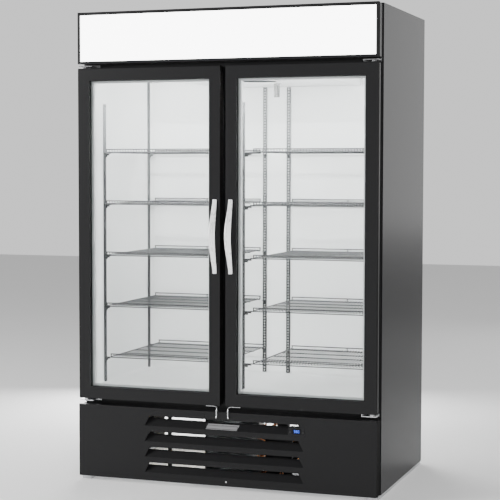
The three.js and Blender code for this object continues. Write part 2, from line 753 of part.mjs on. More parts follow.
function evaporatorCover() {
  const t = EVAP_SHEET;
  const top = LINER_TOP - FIT;
  const rear = LINER_BACK - FIT - PILASTER_DEEP - 1;
  const outer = block([EVAP_LEFT, EVAP_RIGHT], [EVAP_FRONT, rear], [EVAP_BOTTOM, top]);
  const innerX = [EVAP_LEFT + t, EVAP_RIGHT - t];
  const inner = block(innerX, [EVAP_FRONT + t, rear - t], [EVAP_BOTTOM + t, top + t]);
  const through = [EVAP_BOTTOM - t, EVAP_BOTTOM + 2 * t];
  const inlet = drum(EVAP_FAN_RADIUS + 6, 10 * t, 32).translate(EVAP_MIDDLE_X, EVAP_FAN_Y, EVAP_BOTTOM);
  const outletX = [EVAP_LEFT + EVAP_MARGIN, EVAP_RIGHT - EVAP_MARGIN];
  const outlet = block(outletX, [rear - 40, rear - 16], through);
  return shaped([outer], [inner, inlet, outlet]);
}

function evaporatorCoil() {
  const zs = [EVAP_BOTTOM + 14, LINER_TOP - 12];
  return block([EVAP_LEFT + EVAP_MARGIN, EVAP_RIGHT - EVAP_MARGIN], EVAP_COIL_Y, zs);
}

// A round can on a strap across the housing, its shaft reaching down to the fan's hub.
function evaporatorFanMotor() {
  const end = EVAP_SHEET + 0.5;
  const strapHalf = 12;
  const shaftLength = 22;
  const hubTop = EVAP_BOTTOM + 28;
  const strapY = [EVAP_FAN_Y - strapHalf, EVAP_FAN_Y + strapHalf];
  const strap = block([EVAP_LEFT + end, EVAP_RIGHT - end], strapY, [EVAP_BOTTOM + 92, EVAP_BOTTOM + 96]);
  const can = drum(32, 46, 20).translate(EVAP_MIDDLE_X, EVAP_FAN_Y, EVAP_BOTTOM + 70);
  const shaft = drum(4, shaftLength, 10);
  shaft.translate(EVAP_MIDDLE_X, EVAP_FAN_Y, hubTop + FIT + shaftLength / 2);
  return shaped([strap, can, shaft]);
}

// A sensing bulb clipped to a short bracket that hangs from the evaporator housing.
function temperatureProbe() {
  const x = PROBE_X;
  const y = PROBE_Y;
  const half = 13;
  const top = EVAP_BOTTOM - FIT;
  const bracket = block([x - half, x + half], [y - 3, y], [top - 60, top]);
  const foot = block([x - half, x + half], [y - 3, y + 22], [top - 2, top]);
  const bulb = drum(5, 48, 12).translate(x, y - 7, top - 32);
  const clip = block([x - 4, x + 4], [y - 8, y - 1], [top - 36, top - 28]);
  return shaped([bracket, foot, bulb, clip]);
}

function condenserCoil() {
  const back = COIL_Y[1] + SHROUD_DEPTH;
  const footTop = COIL_Z[0] + 10;
  const pack = block(COIL_X, COIL_Y, [COIL_Z[0] + 8, COIL_Z[1]]);
  const shroud = block(COIL_X, [COIL_Y[1] - 1, back], COIL_Z);
  const well = drum(COOLING_FAN_RADIUS + 8, SHROUD_DEPTH + 6, 36).rotateX(Math.PI / 2);
  well.translate(COOLING_FAN_X, COIL_Y[1] + 24, COOLING_FAN_Z);
  const foot = block(COIL_X, [COIL_Y[0], back], [RAIL_HEIGHT + FIT, footTop]);
  return shaped([pack, shroud, foot], [well]);
}

function condenserFanMotor() {
  const y0 = COOLING_FAN_Y + COOLING_HUB / 2 + FIT;
  const deckTop = RAIL_HEIGHT + FIT;
  const canLength = 66;
  const shaftLength = 14;
  const postY = y0 + 30;
  const postX = [COOLING_FAN_X - 20, COOLING_FAN_X + 20];
  const can = drum(38, canLength, 20).rotateX(Math.PI / 2);
  can.translate(COOLING_FAN_X, y0 + 12 + canLength / 2, COOLING_FAN_Z);
  const shaft = drum(4, shaftLength, 10).rotateX(Math.PI / 2);
  shaft.translate(COOLING_FAN_X, y0 + shaftLength / 2, COOLING_FAN_Z);
  const post = block(postX, [postY, postY + 4], [deckTop, COOLING_FAN_Z]);
  const foot = block(postX, [postY, postY + 60], [deckTop, deckTop + 4]);
  return shaped([can, shaft, post, foot]);
}

// A welded steel can with a seam round its middle, four rubber feet and a terminal box.
function compressor() {
  const r = COMPRESSOR_RADIUS;
  const seam = r + 5;
  const profile = [
    [0, 22], [r * 0.8, 22], [r * 0.96, 42], [r, 70], [seam, 100], [seam, 106],
    [r, 110], [r * 0.97, 150], [r * 0.8, 182], [r * 0.45, 197], [0, 200],
  ];
  const outline = profile.map(([x, y]) => new THREE.Vector2(x, y));
  const can = new THREE.LatheGeometry(outline, 28).rotateX(Math.PI / 2);
  const plate = block([-r - 14, r + 14], [-r * 0.8, r * 0.8], [18, 24]);
  const terminalBox = block([r - 10, r + 34], [-30, 30], [80, 150]);
  const pieces = [can, plate, terminalBox];
  for (const x of [-r, r]) {
    for (const y of [-r * 0.62, r * 0.62]) {
      pieces.push(drum(12, 20, 12).translate(x, y, 10));
    }
  }
  return shaped(pieces).translate(COMPRESSOR_X, COMPRESSOR_Y, RAIL_HEIGHT + FIT);
}

// ---------------------------------------------------------------- assembly
function addShell() {
  for (const [side, sign] of SIDES) {
    place(`${side}_side_panel`, sidePanel(sign), side === "left" ? blackPaint() : greyPaint());
  }
  place("rear_panel", rearPanel(), zinc());
  place("roof_panel", roofPanel(), zinc());
  place("wall_insulation", wallInsulation(), foam());
  place("ceiling_insulation", ceilingInsulation(), foam());
  place("floor_insulation", floorInsulation(), foam());
  place("interior_liner", interiorLiner(), whiteLiner());
  place("face_frame", faceFrame(), blackPaint());
  place("centre_mullion", centreMullion(), whiteLiner());
}

function addCanopy() {
  place("canopy_housing", canopyHousing(), blackPaint());
  place("sign_panel", signPanel(), litAcrylic());
  place("sign_lamp", signLamp(), litAcrylic());
}

function addBase() {
  place("base_frame", baseFrame(), zinc());
  place("front_grille", frontGrille(), blackPaint());
  const badge = place("badge_plate", badgePlate(), steel());
  const bladeLean = Math.atan2(LOUVRE_DEPTH, LOUVRE_HEIGHT - LOUVRE_SLOT);
  badge.position.set(BADGE_X, FIT, LOUVRE_FIRST_TOP - LOUVRE_HEIGHT + 2 * BADGE_THICK);
  badge.rotation.x = -bladeLean;
  place("temperature_controller", temperatureController(), blackPlastic());
  CONTROL_BUTTON_X.forEach((x, index) => {
    const button = place(`controller_button_${index + 1}`, controllerButton(), steel());
    button.position.set(x, CONTROL_PROUD, CONTROL_BUTTON_Z);
  });
}

function addRefrigeration() {
  place("evaporator_cover", evaporatorCover(), whiteLiner());
  place("evaporator_coil", evaporatorCoil(), finMetal());
  place("evaporator_fan_motor", evaporatorFanMotor(), zinc());
  const evaporatorFan = place("evaporator_fan", fanBlades(EVAP_FAN_RADIUS, 5, 16), blackPlastic());
  evaporatorFan.position.set(EVAP_MIDDLE_X, EVAP_FAN_Y, EVAP_BOTTOM + 20);
  place("temperature_probe", temperatureProbe(), zinc());
  place("condenser_coil", condenserCoil(), finMetal());
  place("condenser_fan_motor", condenserFanMotor(), zinc());
  const coolingFan = place("condenser_fan", fanBlades(COOLING_FAN_RADIUS, 4, COOLING_HUB), blackPlastic());
  coolingFan.position.set(COOLING_FAN_X, COOLING_FAN_Y, COOLING_FAN_Z);
  coolingFan.rotation.x = Math.PI / 2;
  place("compressor", compressor(), blackPaint());
}

addShell();
addPilasters();
addShelves();
addCanopy();
addDoors();
addBase();
addRefrigeration();

cabinet.position.y = -(BODY_DEPTH - HANDLE_REACH) / 2;

export default cabinet;
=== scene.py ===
"""Glass door merchandiser: the looks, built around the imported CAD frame. Metres, +Z up."""
import json
import math

import bmesh
import bpy
from mathutils import Matrix, Vector

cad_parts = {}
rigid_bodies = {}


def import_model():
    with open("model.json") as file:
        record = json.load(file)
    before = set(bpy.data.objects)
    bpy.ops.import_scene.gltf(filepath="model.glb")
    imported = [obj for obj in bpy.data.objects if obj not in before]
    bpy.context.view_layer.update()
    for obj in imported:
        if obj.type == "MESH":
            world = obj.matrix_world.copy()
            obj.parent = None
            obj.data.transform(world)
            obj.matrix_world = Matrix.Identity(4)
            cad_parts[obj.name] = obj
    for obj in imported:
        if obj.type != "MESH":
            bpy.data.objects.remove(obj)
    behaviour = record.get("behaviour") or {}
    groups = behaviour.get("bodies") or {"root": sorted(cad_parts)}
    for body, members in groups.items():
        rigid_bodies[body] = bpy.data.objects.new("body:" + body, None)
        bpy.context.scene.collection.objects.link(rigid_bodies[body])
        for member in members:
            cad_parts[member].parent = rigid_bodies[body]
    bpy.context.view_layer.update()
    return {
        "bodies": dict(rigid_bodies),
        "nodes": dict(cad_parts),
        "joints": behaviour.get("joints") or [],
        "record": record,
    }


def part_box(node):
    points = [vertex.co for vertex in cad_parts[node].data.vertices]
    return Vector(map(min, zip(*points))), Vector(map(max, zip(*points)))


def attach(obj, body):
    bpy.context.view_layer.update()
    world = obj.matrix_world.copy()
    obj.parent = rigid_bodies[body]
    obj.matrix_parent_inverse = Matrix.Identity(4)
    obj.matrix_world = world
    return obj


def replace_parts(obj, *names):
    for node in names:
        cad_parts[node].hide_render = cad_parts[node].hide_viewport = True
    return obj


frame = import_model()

MM = 0.001

SIDES = (("left", -1), ("right", 1))
BODY = "cabinet"
NODES = frame["nodes"]
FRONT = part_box("left_door_frame")[0].y          # front plane of doors, canopy and base


# ---------------------------------------------------------------- camera, stage and light
def camera():
    lens = bpy.data.cameras.new("camera")
    lens.lens = 106.9
    lens.sensor_width = 36
    lens.shift_x = 0.0744
    lens.shift_y = 0.0094
    lens.clip_end = 60
    rig = bpy.data.objects.new("camera", lens)
    yaw, pitch = math.radians(20.205), math.radians(-3.447)
    rig.location = (2.0866, -5.7869 + FRONT, 1.361)
    rig.rotation_euler = (math.pi / 2 + pitch, 0, yaw)
    bpy.context.scene.collection.objects.link(rig)
    bpy.context.scene.camera = rig


def area_light(name, place, aim, size, power):
    lamp = bpy.data.lights.new(name, "AREA")
    lamp.shape = "RECTANGLE"
    lamp.size, lamp.size_y = size
    lamp.energy = power
    rig = bpy.data.objects.new(name, lamp)
    rig.location = place
    rig.rotation_euler = (Vector(aim) - Vector(place)).to_track_quat("-Z", "Y").to_euler()
    rig.visible_camera = False
    rig.visible_transmission = False
    bpy.context.scene.collection.objects.link(rig)


def sky():
    """Even pale surroundings that grow darker overhead."""
    world = bpy.data.worlds.new("studio")
    world.use_nodes = True
    tree = world.node_tree
    place = tree.nodes.new("ShaderNodeTexCoord")
    parts = tree.nodes.new("ShaderNodeSeparateXYZ")
    height = tree.nodes.new("ShaderNodeMapRange")
    height.inputs["From Min"].default_value = 0.12
    height.inputs["From Max"].default_value = 0.75
    height.inputs["To Min"].default_value = 0.95
    height.inputs["To Max"].default_value = 0.06
    tree.links.new(place.outputs["Generated"], parts.inputs["Vector"])
    tree.links.new(parts.outputs["Z"], height.inputs["Value"])
    tree.links.new(height.outputs["Result"], tree.nodes["Background"].inputs["Strength"])
    tree.nodes["Background"].inputs["Color"].default_value = (1, 1, 1, 1)
    bpy.context.scene.world = world


def floor():
    far = 14
    mesh = bpy.data.meshes.new("floor")
    mesh.from_pydata([(-far, -far, 0), (far, -far, 0), (far, far, 0), (-far, far, 0)], [], [(0, 1, 2, 3)])
    ground = bpy.data.objects.new("floor", mesh)
    bpy.context.scene.collection.objects.link(ground)
    mesh.materials.append(lit("floor_white", (0.9, 0.9, 0.9), 0.3, 0.9))


def studio():
    sky()
    floor()
    area_light("key", (-5.6, -3.9, 2.8), (0, 0, 1.0), (2.2, 2.6), 560)
    area_light("front_fill", (3.4, -6.2, 2.4), (0, 0, 1.0), (2.4, 2.4), 260)
    area_light("top", (0.2, 0.5, 4.8), (0, 0, 1.9), (2.6, 1.6), 40)
    area_light("side_card", (2.2, 5.6, 2.65), (0.66, 0.2, 1.4), (3.4, 3.8), 37)
    area_light("back_kicker", (-0.9, 1.9, 0.9), (-0.3, 0.1, 0.02), (1.6, 1.2), 70)


def interior_light():
    for side, sign in SIDES:
        x = sign * 0.31
        high = (x, FRONT + 0.125, 1.712)
        middle = (x, FRONT + 0.10, 1.0)
        area_light(f"{side}_cabinet_light", high, (x, FRONT + 0.74, 1.15), (0.5, 0.07), 84)
        area_light(f"{side}_cabinet_fill", middle, (x, FRONT + 0.74, 1.0), (0.5, 1.1), 3.5)


# ---------------------------------------------------------------- materials
MADE = {}
BRUSHING = (1, 1, 0.03)                         # draws the grain out along Z


def surface(name, color, rough, metal, grain=220.0, bump=0.02, stretch=(1, 1, 1), tone=0.08,
            rough_spread=0.08, specular=0.5, coat=0.0):
    """A procedural finish: fine bump, patchy roughness and a slow drift of tone."""
    if name in MADE:
        return MADE[name]
    made = bpy.data.materials.new(name)
    made.use_nodes = True
    tree = made.node_tree
    shader = tree.nodes["Principled BSDF"]
    shader.inputs["Metallic"].default_value = metal
    shader.inputs["Specular IOR Level"].default_value = specular
    shader.inputs["Coat Weight"].default_value = coat
    place = tree.nodes.new("ShaderNodeTexCoord")
    scale = tree.nodes.new("ShaderNodeMapping")
    scale.inputs["Scale"].default_value = stretch
    tree.links.new(place.outputs["Object"], scale.inputs["Vector"])

    def noise(size, detail):
        made_noise = tree.nodes.new("ShaderNodeTexNoise")
        made_noise.inputs["Scale"].default_value = size
        made_noise.inputs["Detail"].default_value = detail
        tree.links.new(scale.outputs["Vector"], made_noise.inputs["Vector"])
        return made_noise.outputs["Fac"]

    def spread(source, low, high):
        ranged = tree.nodes.new("ShaderNodeMapRange")
        ranged.inputs["From Min"].default_value = 0.3
        ranged.inputs["From Max"].default_value = 0.7
        ranged.inputs["To Min"].default_value = low
        ranged.inputs["To Max"].default_value = high
        tree.links.new(source, ranged.inputs["Value"])
        return ranged.outputs["Result"]

    patches = spread(noise(grain / 18, 3), max(0.02, rough - rough_spread), min(1, rough + rough_spread))
    tree.links.new(patches, shader.inputs["Roughness"])
    tint = tree.nodes.new("ShaderNodeMix")
    tint.data_type = "RGBA"
    tint.inputs["A"].default_value = (*[max(0, c * (1 - tone)) for c in color], 1)
    tint.inputs["B"].default_value = (*[min(1, c * (1 + tone)) for c in color], 1)
    tree.links.new(spread(noise(grain / 60, 2), 0, 1), tint.inputs["Factor"])
    tree.links.new(tint.outputs["Result"], shader.inputs["Base Color"])
    if bump:
        relief = tree.nodes.new("ShaderNodeBump")
        relief.inputs["Strength"].default_value = bump * 10
        relief.inputs["Distance"].default_value = 0.0002
        tree.links.new(noise(grain, 2), relief.inputs["Height"])
        tree.links.new(relief.outputs["Normal"], shader.inputs["Normal"])
    MADE[name] = made
    return made


def lit(name, color, strength, rough=0.35):
    made = surface(name, color, rough, 0, grain=120, bump=0.005, tone=0.02)
    shader = made.node_tree.nodes["Principled BSDF"]
    shader.inputs["Emission Color"].default_value = (*color, 1)
    shader.inputs["Emission Strength"].default_value = strength
    return made


def clear_glass():
    made = surface("clear_glass", (0.97, 0.99, 0.985), 0.01, 0, grain=40, bump=0,
                   tone=0.005, rough_spread=0.004)
    shader = made.node_tree.nodes["Principled BSDF"]
    shader.inputs["Transmission Weight"].default_value = 1
    shader.inputs["IOR"].default_value = 1.18
    return made


def black_paint():
    return surface("black_paint", (0.0075, 0.0075, 0.008), 0.36, 0, grain=900, bump=0.004, specular=0.2,
                   tone=0.01, rough_spread=0.015)


# A darker, less glossy copy of black_paint: painted shade for the left and right end faces of frames,
# canopy and grille.
def shaded_end_paint():
    return surface("shaded_end_paint", (0.006, 0.006, 0.006), 0.5, 0, grain=900, bump=0.004, specular=0.012,
                   tone=0.01, rough_spread=0.015)


# The side panels' own copy of the black paint, a touch lighter and far less glossy than the front's:
# painted shade that keeps their lower part dark; the lighter top comes from the side_card lamp.
def side_paint():
    return surface("side_paint", (0.010, 0.010, 0.011), 0.26, 0, grain=900, bump=0.003, specular=0.045,
                   tone=0.01, rough_spread=0.01)


def white_liner():
    return surface("white_liner", (0.84, 0.84, 0.84), 0.45, 0, grain=500, bump=0.002, tone=0.01)


def galvanised():
    return surface("galvanised", (0.50, 0.51, 0.52), 0.38, 0.9, grain=160, bump=0.01, tone=0.18)


def zinc():
    return surface("pilaster_zinc", (0.04, 0.0405, 0.042), 0.5, 0, grain=500, bump=0.01,
                   tone=0.1, specular=0.04)


def brushed():
    return surface("brushed_steel", (0.72, 0.73, 0.74), 0.26, 1, grain=1400, bump=0.02, stretch=BRUSHING)


# A darker, duller copy of the hinge steel: painted shade for the top hinges, which sit in the shade of the
# door gap.
def shaded_hinge_steel():
    return surface("shaded_hinge_steel", (0.20, 0.20, 0.205), 0.4, 0.8, grain=1400, bump=0.02)


def bright_silver():
    return surface("bright_silver", (0.93, 0.93, 0.94), 0.3, 0.35, grain=1400, bump=0.012, stretch=BRUSHING)


def badge_metal():
    return surface("badge_metal", (0.42, 0.42, 0.43), 0.34, 0.6, grain=900, bump=0.004, tone=0.04)


def wire_coat():
    return surface("shelf_wire", (0.03, 0.0305, 0.032), 0.42, 0, grain=900, bump=0.01, specular=0.04)


def rubber():
    return surface("gasket_rubber", (0.016, 0.016, 0.016), 0.62, 0, grain=900, bump=0.03)


def black_plastic():
    return surface("black_plastic", (0.009, 0.009, 0.010), 0.45, 0, grain=1500, bump=0.03, specular=0.2)


def enamel():
    return surface("compressor_enamel", (0.012, 0.012, 0.013), 0.2, 0, grain=260, bump=0.02, coat=0.5)


def fins():
    return surface("fin_aluminium", (0.72, 0.74, 0.75), 0.34, 1, grain=800, bump=0.02)


def copper():
    return surface("copper_pipe", (0.80, 0.36, 0.18), 0.24, 1, grain=300, bump=0.01, tone=0.15)


def foam():
    return surface("foam", (0.70, 0.60, 0.36), 0.9, 0, grain=400, bump=0.06)


def spacer_metal():
    return surface("glass_spacer", (0.80, 0.81, 0.82), 0.4, 0.3, grain=700, bump=0.01)


# ---------------------------------------------------------------- mesh helpers
def publish(name, bm, material, body=BODY, replaces=(), sharp=35):
    """Turns a bmesh into a finished piece of the object."""
    bmesh.ops.recalc_face_normals(bm, faces=bm.faces)
    mesh = bpy.data.meshes.new(name)
    bm.to_mesh(mesh)
    bm.free()
    for face in mesh.polygons:
        face.use_smooth = True
    mesh.set_sharp_from_angle(angle=math.radians(sharp))
    mesh.materials.append(material)
    piece = bpy.data.objects.new(name, mesh)
    bpy.context.scene.collection.objects.link(piece)
    level = piece.modifiers.new("flat_faces", "WEIGHTED_NORMAL")
    level.mode = "FACE_AREA"
    level.keep_sharp = True
    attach(piece, body)
    if replaces:
        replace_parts(piece, *replaces)
    return piece


def soften(bm, width, segments=2, angle=30):
    """Bevels every edge that turns by more than `angle`."""
    turning = [e for e in bm.edges if len(e.link_faces) == 2 and e.calc_face_angle(0) > math.radians(angle)]
    bmesh.ops.bevel(bm, geom=turning, offset=width, segments=segments, profile=0.5, affect="EDGES",
                    clamp_overlap=True)


def from_node(node):
    """A copy of a CAD node's surface with its corners joined up."""
    bm = bmesh.new()
    bm.from_mesh(NODES[node].data)
    bmesh.ops.remove_doubles(bm, verts=bm.verts, dist=2e-6)
    bmesh.ops.dissolve_degenerate(bm, edges=bm.edges, dist=1e-6)
    return bm


def softened(node, width, material, body=BODY, segments=2):
    bm = from_node(node)
    soften(bm, width, segments)
    return publish(f"{node}_finished", bm, material, body, (node,))


def cap_ends(piece, node):
    """Gives the faces at the left and right ends of a piece a darker, less glossy copy of the paint:
    painted shade on these side-facing faces.
    """
    low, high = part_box(node)
    near = 3 * MM
    piece.data.materials.append(shaded_end_paint())
    for face in piece.data.polygons:
        at_end = face.center.x < low.x + near or face.center.x > high.x - near
        if at_end and abs(face.normal.x) > 0.6:
            face.material_index = 1


def add_box(bm, low, high):
    corners = bmesh.ops.create_cube(bm, size=1)["verts"]
    low, high = Vector(low), Vector(high)
    size = high - low
    matrix = Matrix.Translation((low + high) / 2) @ Matrix.Diagonal((*size, 1))
    bmesh.ops.transform(bm, matrix=matrix, verts=corners)
    return corners


def boxes(items, width=0.0004):
    bm = bmesh.new()
    for low, high in items:
        add_box(bm, low, high)
    soften(bm, width, 1)
    return bm


def add_bar(bm, path, radius, sides=8):
    """A round bar along a list of points, closed at both ends."""
    path = [Vector(p) for p in path]
    rings = []
    across = None
    for i, point in enumerate(path):
        ahead = path[min(i + 1, len(path) - 1)] - path[max(i - 1, 0)]
        ahead.normalize()
        if across is None:
            across = ahead.orthogonal().normalized()
        across = (across - ahead * across.dot(ahead)).normalized()
        other = ahead.cross(across)
        ring = []
        for k in range(sides):
            turn = 2 * math.pi * k / sides
            ring.append(bm.verts.new(point + radius * (math.cos(turn) * across + math.sin(turn) * other)))
        rings.append(ring)
    for near, far in zip(rings, rings[1:]):
        for k in range(sides):
            bm.faces.new((near[k], near[(k + 1) % sides], far[(k + 1) % sides], far[k]))
    bm.faces.new(list(reversed(rings[0])))
    bm.faces.new(rings[-1])


def bent(points, radius, steps=4):
    """The same route with each corner turned into an arc-like curve of about that radius."""
    points = [Vector(p) for p in points]
    path = [points[0]]
    for before, corner, after in zip(points, points[1:], points[2:]):
        into = (corner - before).normalized()
        away = (after - corner).normalized()
        reach = min(radius, (corner - before).length * 0.49, (after - corner).length * 0.49)
        start = corner - into * reach
        end = corner + away * reach
        for k in range(steps + 1):
            t = k / steps
            path.append(start * (1 - t) ** 2 + corner * 2 * t * (1 - t) + end * t ** 2)
    path.append(points[-1])
    return path


def add_disc(bm, middle, axis, radius, thick, sides=20, dome=0.0):
    """A short drum, with a slightly smaller crowned face when dome is given."""
    axis = Vector(axis).normalized()
    middle = Vector(middle)
    path = [middle, middle + axis * thick * 0.7, middle + axis * thick]
    scales = [1, 1, 1 - dome]
    across = axis.orthogonal().normalized()
    other = axis.cross(across)
    rings = []
    for point, scale in zip(path, scales):
        ring = []
        for k in range(sides):
            turn = 2 * math.pi * k / sides
            spoke = math.cos(turn) * across + math.sin(turn) * other
            ring.append(bm.verts.new(point + spoke * radius * scale))
        rings.append(ring)
    for near, far in zip(rings, rings[1:]):
        for k in range(sides):
            bm.faces.new((near[k], near[(k + 1) % sides], far[(k + 1) % sides], far[k]))
    bm.faces.new(list(reversed(rings[0])))
    bm.faces.new(rings[-1])


def screws(name, places, axis, radius=3.4 * MM, proud=1.6 * MM):
    bm = bmesh.new()
    for place in places:
        add_disc(bm, place, axis, radius, proud, 14, 0.35)
    return publish(name, bm, brushed(), sharp=50)


# ---------------------------------------------------------------- shell
def shell():
    softened("left_side_panel", 1.0 * MM, side_paint())
    softened("right_side_panel", 1.0 * MM, side_paint())
    softened("rear_panel", 0.5 * MM, galvanised())
    softened("roof_panel", 0.6 * MM, galvanised())
    softened("base_frame", 0.8 * MM, galvanised())
    cap_ends(softened("face_frame", 1.0 * MM, black_paint()), "face_frame")
    coved_liner()
    softened("centre_mullion", 3 * MM, white_liner(), segments=3)
    for node in ("wall_insulation", "ceiling_insulation", "floor_insulation"):
        NODES[node].data.materials.clear()
        NODES[node].data.materials.append(foam())


def coved_liner():
    """The liner with its inside corners rounded, as a formed sheet has them."""
    bm = from_node("interior_liner")
    inside = [e for e in bm.edges if len(e.link_faces) == 2 and e.calc_face_angle_signed(0) < -0.5]
    bmesh.ops.bevel(bm, geom=inside, offset=13 * MM, segments=5, profile=0.5, affect="EDGES")
    publish("interior_liner_coved", bm, white_liner(), replaces=("interior_liner",))


def rear_screws():
    low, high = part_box("rear_panel")
    face = high.y - 0.1 * MM
    columns = 7
    rows = 9
    inset = 16 * MM
    places = []
    for i in range(columns):
        x = low.x + inset + (high.x - low.x - 2 * inset) * i / (columns - 1)
        places += [(x, face, low.z + inset), (x, face, high.z - inset)]
    for j in range(1, rows - 1):
        z = low.z + inset + (high.z - low.z - 2 * inset) * j / (rows - 1)
        places += [(low.x + inset, face, z), (high.x - inset, face, z)]
    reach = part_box("left_side_panel")[1].y
    screws("rear_screws", places, (0, 1, 0), proud=min(1.6 * MM, reach - face))


# ---------------------------------------------------------------- canopy and doors
def canopy():
    housing = softened("canopy_housing", 1.4 * MM, black_paint(), segments=3)
    cap_ends(housing, "canopy_housing")
    softened("sign_panel", 0.5 * MM, lit("sign_acrylic", (1, 1, 1), 7.0))
    sign_bezel()
    header_seal()
    softened("sign_lamp", 2 * MM, lit("sign_lamp_light", (1, 1, 0.97), 2.0))


def sign_bezel():
    """The slim black rim that holds the sign panel in."""
    low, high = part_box("sign_panel")
    rim = 5 * MM
    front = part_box("canopy_housing")[0].y + 0.3 * MM
    frame_ring(low, high, rim, front, low.y - 0.1 * MM, 0.6 * MM, black_paint(),
               "sign_bezel", BODY)


def header_seal():
    """The strip that fills the gap between the face frame and the canopy."""
    low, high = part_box("face_frame")
    tall = 4.8 * MM
    seal_low = Vector((low.x, low.y + 0.5 * MM, high.z + 0.1 * MM))
    seal_high = Vector((high.x, high.y - 0.5 * MM, high.z + tall))
    publish("header_seal", boxes([(seal_low, seal_high)], 1 * MM), rubber())


def frame_ring(low, high, width, y0, y1, round_by, material, name, body):
    """A picture-frame strip in the X-Z plane, with lightly rounded edges."""
    outer = ((low.x, low.z), (high.x, low.z), (high.x, high.z), (low.x, high.z))
    inner = (
        (low.x + width, low.z + width), (high.x - width, low.z + width),
        (high.x - width, high.z - width), (low.x + width, high.z - width),
    )
    bm = bmesh.new()
    rings = []
    for y in (y0, y1):
        outside = [bm.verts.new((x, y, z)) for x, z in outer]
        inside = [bm.verts.new((x, y, z)) for x, z in inner]
        rings.append((outside, inside))
    (near_out, near_in), (far_out, far_in) = rings
    for k in range(4):
        n = (k + 1) % 4
        bm.faces.new((near_out[k], near_out[n], near_in[n], near_in[k]))
        bm.faces.new((far_out[k], far_in[k], far_in[n], far_out[n]))
        bm.faces.new((near_out[k], far_out[k], far_out[n], near_out[n]))
        bm.faces.new((near_in[k], near_in[n], far_in[n], far_in[k]))
    bmesh.ops.recalc_face_normals(bm, faces=bm.faces)
    soften(bm, round_by, 2)
    return publish(name, bm, material, body)


def glass_unit(side):
    """Two panes on a spacer, in place of the solid block."""
    node = f"{side}_door_glass"
    low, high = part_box(node)
    body = f"{side}_door"
    pane = 4 * MM
    spacer_width = 24 * MM
    for name, y in (("outer", low.y), ("inner", high.y - pane)):
        bm = bmesh.new()
        add_box(bm, (low.x, y, low.z), (high.x, y + pane, high.z))
        soften(bm, 0.4 * MM, 1)
        publish(f"{side}_{name}_pane", bm, clear_glass(), body, (node,))
    edge = 0.2 * MM
    frame_ring(low + Vector((edge, 0, edge)), high - Vector((edge, 0, edge)), spacer_width,
               low.y + pane + edge, high.y - pane - edge, 0.6 * MM, spacer_metal(),
               f"{side}_glass_spacer", body)


def glazing_bead(side):
    """The thin black strip that holds the glass against the frame's front lip."""
    low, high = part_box(f"{side}_door_glass")
    inset = 12.6 * MM                           # just behind the frame's front lip
    bead, depth = 3.0 * MM, 3.5 * MM
    back = low.y - 0.1 * MM
    low = low + Vector((inset, 0, inset))
    high = high - Vector((inset, 0, inset))
    frame_ring(low, high, bead, back - depth, back, 0.8 * MM, black_paint(),
               f"{side}_glazing_bead", f"{side}_door")


def bow_handle(side):
    """A flat strip in one long arch, narrow where it meets the door and wide in the middle."""
    node = f"{side}_door_handle"
    low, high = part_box(node)
    middle = (low + high) / 2
    half = (high.z - low.z) / 2
    thick = 3.4 * MM
    pad = 12 * MM
    end_half, middle_half = 8.5 * MM, 13.9 * MM
    reach = (high.y - low.y) - thick
    stations, corners = 96, 16
    bm = bmesh.new()

    def rise(t):
        share = min(1, max(0, (half - pad - abs(t)) / (half - pad)))
        return reach * (math.sin(share * math.pi / 2) + share * share * (3 - 2 * share)) / 2

    heights = [-half + 2 * half * i / stations for i in range(stations + 1)]
    centres = [Vector((middle.x, high.y - thick / 2 - rise(t), middle.z + t)) for t in heights]
    rings = []
    for i, (t, centre) in enumerate(zip(heights, centres)):
        ahead = (centres[min(i + 1, stations)] - centres[max(i - 1, 0)]).normalized()
        out = Vector((1, 0, 0)).cross(ahead).normalized()
        tip = min(1, (half - abs(t)) / (2 * MM))
        wide = end_half + (middle_half - end_half) * math.cos(t / half * math.pi / 2) ** 1.4
        wide *= 0.85 + 0.15 * math.sqrt(max(0, tip))
        ring = []
        for k in range(corners):
            turn = 2 * math.pi * (k + 0.5) / corners
            u = math.copysign(abs(math.cos(turn)) ** 0.3, math.cos(turn)) * wide
            v = math.copysign(abs(math.sin(turn)) ** 0.6, math.sin(turn)) * thick / 2
            ring.append(bm.verts.new(centre + Vector((u, 0, 0)) + out * v))
        rings.append(ring)
    for near, far in zip(rings, rings[1:]):
        for k in range(corners):
            bm.faces.new((near[k], near[(k + 1) % corners], far[(k + 1) % corners], far[k]))
    bm.faces.new(rings[0])
    bm.faces.new(rings[-1])
    publish(f"{side}_bow_handle", bm, bright_silver(), f"{side}_door", (node,), sharp=50)


def closing_rod(side, sign):
    node = f"{side}_door_closing_rod"
    low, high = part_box(node)
    radius = 2.3 * MM
    outer = high.x if sign > 0 else low.x
    inner = low.x + 3 * MM if sign > 0 else high.x - 3 * MM
    top = high.z - 3 * MM
    back = high.y - 3 * MM
    front = low.y + 4 * MM
    route = [
        (outer, back, top), (inner + sign * 8 * MM, back, top), (inner, back - 8 * MM, top - 3 * MM),
        (inner, front, top - 14 * MM), (inner, front, low.z + 8 * MM),
        (inner + sign * 1.5 * MM, front, low.z + 3.2 * MM),
    ]
    bm = bmesh.new()
    add_bar(bm, bent(route, 7 * MM, 5), radius, 14)
    add_disc(bm, (inner + sign * 1.5 * MM, front, low.z + 0.4 * MM), (0, 0, 1), 3.6 * MM, 6 * MM, 16, 0.2)
    publish(f"{side}_bent_rod", bm, brushed(), f"{side}_door", (node,), sharp=50)


def hinge(side, sign, level):
    # The top hinges take the darker steel as painted shade for the gap's shade they sit in; the bottom ones
    # keep the bright steel.
    metal = brushed() if level == "bottom" else shaded_hinge_steel()
    softened(f"{side}_{level}_hinge", 0.7 * MM, metal)


